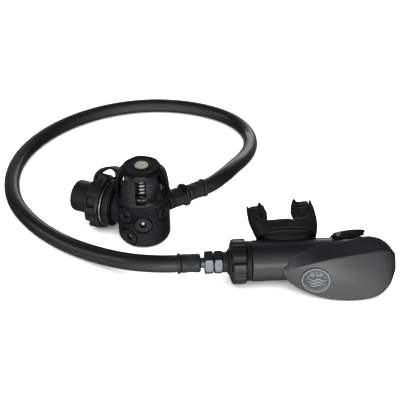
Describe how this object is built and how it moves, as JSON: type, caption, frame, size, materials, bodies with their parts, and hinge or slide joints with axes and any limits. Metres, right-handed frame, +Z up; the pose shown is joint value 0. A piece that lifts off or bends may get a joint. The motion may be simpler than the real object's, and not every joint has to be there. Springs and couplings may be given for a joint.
{
  "type": "scuba regulator set",
  "caption": "Diving regulator: balanced first stage with a screw-in cylinder connector, low pressure hose and side-barrel demand second stage with mouthpiece and purge cover.",
  "frame": {"origin": "centre of the first stage's flat base, on the surface it stands on", "axes": "+Z up along the first stage's axis, +X towards the second stage's purge cover, +Y towards the far loop of the hose"},
  "size_m": [0.338, 0.3175, 0.0708],
  "materials": {
    "black_body": "satin black",
    "black_gloss": "satin black",
    "dark_matt": "matt black",
    "graphite": "satin dark grey",
    "case_grey": "satin dark grey",
    "cover_grey": "satin grey",
    "rubber": "matt",
    "hose_rubber": "semi matt",
    "steel": "bright",
    "brass": "bright",
    "silicone": "soft matt",
    "insert": "pale green grey",
    "badge": "pale grey print"
  },
  "bodies": {
    "first_stage": {"cap_insert": "insert", "cap_top": "dark_matt", "diaphragm_clamp": "brass", "din_collar": "black_body", "din_filter": "brass", "din_oring": "rubber", "din_ring": "steel", "din_stem": "steel", "dust_cap_strap": "rubber", "first_diaphragm": "rubber", "first_stage_body": "black_body", "fitting_collar": "black_body", "hose": "hose_rubber", "hose_ferrule_first": "graphite", "hose_ferrule_second": "graphite", "hose_stem": "graphite", "lp_fitting": "graphite", "main_spring": "steel", "port_plug_1": "black_gloss", "port_plug_2": "black_gloss", "port_plug_3": "black_gloss", "port_plug_4": "black_gloss", "port_plug_5": "black_gloss", "spring_adjuster": "brass", "spring_cap": "black_gloss", "valve_crown": "brass", "valve_spring": "steel"},
    "regulating_stack": {"spring_pad": "brass", "push_pin": "steel", "valve_poppet": "brass"},
    "hand_wheel": {"din_wheel": "black_body"},
    "dust_cap": {"dust_cap": "rubber", "strap_ring": "rubber"},
    "hose_nut": {"hose_nut": "graphite"},
    "second_stage": {"lock_nut": "graphite", "inlet_adapter": "graphite", "seal_ring": "rubber", "case": "case_grey", "barrel_end_cap": "case_grey", "valve_tube": "steel", "orifice": "brass", "poppet_spring": "steel", "lever_pin": "steel", "demand_diaphragm": "rubber", "diaphragm_retainer": "black_body", "purge_spring": "steel", "exhaust_valve": "silicone", "exhaust_cover": "black_body", "venturi_pin": "steel", "mouthpiece": "silicone", "mouthpiece_clamp": "dark_matt"},
    "lock_ring": {"lock_ring": "black_body"},
    "purge_cover": {"purge_cover": "cover_grey", "cover_medallion": "badge"},
    "diaphragm_plate": {"diaphragm_plate": "steel"},
    "demand_lever": {"demand_lever": "steel"},
    "poppet": {"poppet": "steel"},
    "venturi_lever": {"venturi_lever": "black_body"}
  },
  "joints": [
    {"name": "second_stage_swivel", "type": "hinge", "parent": "first_stage", "child": "second_stage", "pos_m": [0.0551, -0.0641, 0.02], "axis": [0.9982, 0.0593, 0], "continuous": true},
    {"name": "hose_nut_spin", "type": "hinge", "parent": "first_stage", "child": "hose_nut", "pos_m": [0.0551, -0.0641, 0.02], "axis": [0.9982, 0.0593, 0], "continuous": true},
    {"name": "lock_ring_turn", "type": "hinge", "parent": "second_stage", "child": "lock_ring", "pos_m": [0.07806, -0.06274, 0.02], "axis": [0.9982, 0.0593, 0], "continuous": true},
    {"name": "hand_wheel_spin", "type": "hinge", "parent": "first_stage", "child": "hand_wheel", "pos_m": [0, 0, 0.024], "axis": [-0.9272, 0.3746, 0], "continuous": true},
    {"name": "dust_cap_pull", "type": "slide", "parent": "first_stage", "child": "dust_cap", "axis": [-0.9272, 0.3746, 0], "range_m": [0, 0.024], "deforming": ["dust_cap_strap"]},
    {"name": "valve_stroke", "type": "slide", "parent": "first_stage", "child": "regulating_stack", "axis": [0, 0, -1], "range_m": [0, 0.0008], "stiffness_N_per_m": 3000, "deforming": ["main_spring", "first_diaphragm", "valve_spring"]},
    {"name": "purge_press", "type": "hinge", "parent": "second_stage", "child": "purge_cover", "pos_m": [0.11298, -0.07719, 0.02], "axis": [-0.036, 0.6063, 0.7944], "range_deg": [0, 1], "stiffness_Nm_per_rad": 12, "deforming": ["purge_spring"]},
    {"name": "diaphragm_stroke", "type": "slide", "parent": "second_stage", "child": "diaphragm_plate", "axis": [-0.0471, 0.793, -0.6074], "range_m": [0, 0.0011], "deforming": ["demand_diaphragm"]},
    {"name": "demand_lever_tilt", "type": "hinge", "parent": "second_stage", "child": "demand_lever", "pos_m": [0.14554, -0.05873, 0.02], "axis": [0.4239, 0.5665, 0.7067], "range_deg": [0, 3]},
    {"name": "poppet_stroke", "type": "slide", "parent": "second_stage", "child": "poppet", "axis": [0.9982, 0.0593, 0], "range_m": [0, 0.0004], "deforming": ["poppet_spring"]},
    {"name": "venturi_lever_turn", "type": "hinge", "parent": "second_stage", "child": "venturi_lever", "pos_m": [0.15653, -0.05146, 0.038], "axis": [0, 0, 1], "range_deg": [0, 40]}
  ],
  "couplings": [
    {"joint": "diaphragm_stroke", "follows": "purge_press", "m_per_rad": 0.053},
    {"joint": "demand_lever_tilt", "follows": "purge_press", "ratio": 2.33},
    {"joint": "poppet_stroke", "follows": "purge_press", "m_per_rad": 0.019}
  ]
}
